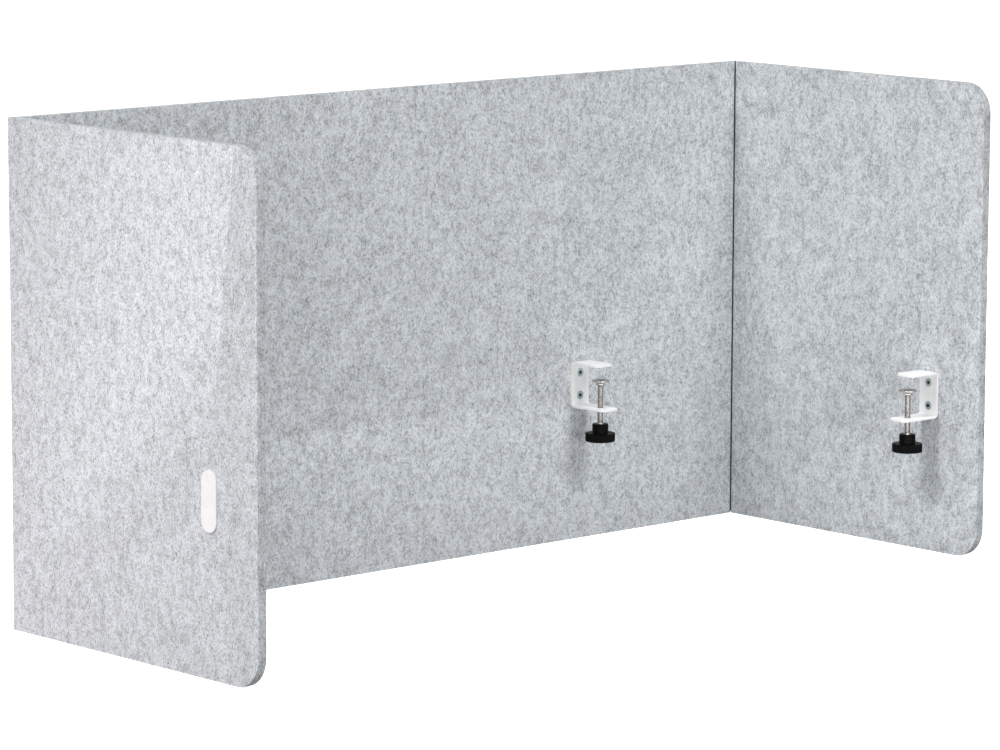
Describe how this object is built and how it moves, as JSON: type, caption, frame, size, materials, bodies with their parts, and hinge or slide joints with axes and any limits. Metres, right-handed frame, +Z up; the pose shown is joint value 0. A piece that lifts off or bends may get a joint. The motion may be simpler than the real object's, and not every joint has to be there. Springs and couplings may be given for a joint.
{
  "type": "desk privacy panel",
  "caption": "Three-sided felt desk privacy panel with folding wings and white screw clamps with black knobs.",
  "frame": {"origin": "middle of the rectangle that the panel stands on, at the felt's bottom edge", "axes": "+X to the right along the back panel, +Y away from the person at the desk, +Z up"},
  "size_m": [1.204, 0.459, 0.61],
  "materials": {
    "felt": "matte",
    "white_coat": "satin",
    "nickel": "satin",
    "zinc": "satin",
    "black_plastic": "satin"
  },
  "bodies": {
    "back": {"back_panel": "felt", "left_fold_skin": "felt", "right_fold_skin": "felt", "back_left_bracket": "white_coat", "back_left_backing_plate": "white_coat", "back_left_threaded_sleeves": "zinc", "back_left_countersunk_screws": "zinc", "back_right_bracket": "white_coat", "back_right_backing_plate": "white_coat", "back_right_threaded_sleeves": "zinc", "back_right_countersunk_screws": "zinc"},
    "left_wing": {"left_wing_panel": "felt", "wing_left_bracket": "white_coat", "wing_left_backing_plate": "white_coat", "wing_left_threaded_sleeves": "zinc", "wing_left_countersunk_screws": "zinc"},
    "right_wing": {"right_wing_panel": "felt", "wing_right_bracket": "white_coat", "wing_right_backing_plate": "white_coat", "wing_right_threaded_sleeves": "zinc", "wing_right_countersunk_screws": "zinc"},
    "back_left_pad": {"back_left_swivel_pad": "nickel"},
    "back_left_screw": {"back_left_spindle": "nickel", "back_left_knob": "black_plastic", "back_left_knob_insert": "nickel"},
    "back_right_pad": {"back_right_swivel_pad": "nickel"},
    "back_right_screw": {"back_right_spindle": "nickel", "back_right_knob": "black_plastic", "back_right_knob_insert": "nickel"},
    "wing_left_pad": {"wing_left_swivel_pad": "nickel"},
    "wing_left_screw": {"wing_left_spindle": "nickel", "wing_left_knob": "black_plastic", "wing_left_knob_insert": "nickel"},
    "wing_right_pad": {"wing_right_swivel_pad": "nickel"},
    "wing_right_screw": {"wing_right_spindle": "nickel", "wing_right_knob": "black_plastic", "wing_right_knob_insert": "nickel"}
  },
  "joints": [
    {"name": "left_fold", "type": "hinge", "parent": "back", "child": "left_wing", "pos_m": [-0.6, 0.2275, 0.305], "axis": [0, 0, -1], "range_deg": [0, 265], "deforming": ["left_fold_skin"]},
    {"name": "right_fold", "type": "hinge", "parent": "back", "child": "right_wing", "pos_m": [0.6, 0.2275, 0.305], "axis": [0, 0, 1], "range_deg": [0, 265], "deforming": ["right_fold_skin"]},
    {"name": "back_left_travel", "type": "slide", "parent": "back", "child": "back_left_pad", "axis": [0, 0, 1], "range_m": [-0.02937, 0.01625]},
    {"name": "back_left_turn", "type": "hinge", "parent": "back_left_pad", "child": "back_left_screw", "pos_m": [-0.306, 0.1745, 0.175], "axis": [0, 0, 1], "range_deg": [-8460, 4680]},
    {"name": "back_right_travel", "type": "slide", "parent": "back", "child": "back_right_pad", "axis": [0, 0, 1], "range_m": [-0.02937, 0.01625]},
    {"name": "back_right_turn", "type": "hinge", "parent": "back_right_pad", "child": "back_right_screw", "pos_m": [0.306, 0.1745, 0.175], "axis": [0, 0, 1], "range_deg": [-8460, 4680]},
    {"name": "wing_left_travel", "type": "slide", "parent": "left_wing", "child": "wing_left_pad", "axis": [0, 0, 1], "range_m": [-0.02937, 0.01625]},
    {"name": "wing_left_turn", "type": "hinge", "parent": "wing_left_pad", "child": "wing_left_screw", "pos_m": [-0.547, -0.1445, 0.175], "axis": [0, 0, 1], "range_deg": [-8460, 4680]},
    {"name": "wing_right_travel", "type": "slide", "parent": "right_wing", "child": "wing_right_pad", "axis": [0, 0, 1], "range_m": [-0.02937, 0.01625]},
    {"name": "wing_right_turn", "type": "hinge", "parent": "wing_right_pad", "child": "wing_right_screw", "pos_m": [0.547, -0.1445, 0.175], "axis": [0, 0, 1], "range_deg": [-8460, 4680]}
  ],
  "couplings": [
    {"joint": "back_left_turn", "follows": "back_left_travel", "rad_per_m": 5026.5},
    {"joint": "back_right_turn", "follows": "back_right_travel", "rad_per_m": 5026.5},
    {"joint": "wing_left_turn", "follows": "wing_left_travel", "rad_per_m": 5026.5},
    {"joint": "wing_right_turn", "follows": "wing_right_travel", "rad_per_m": 5026.5}
  ]
}
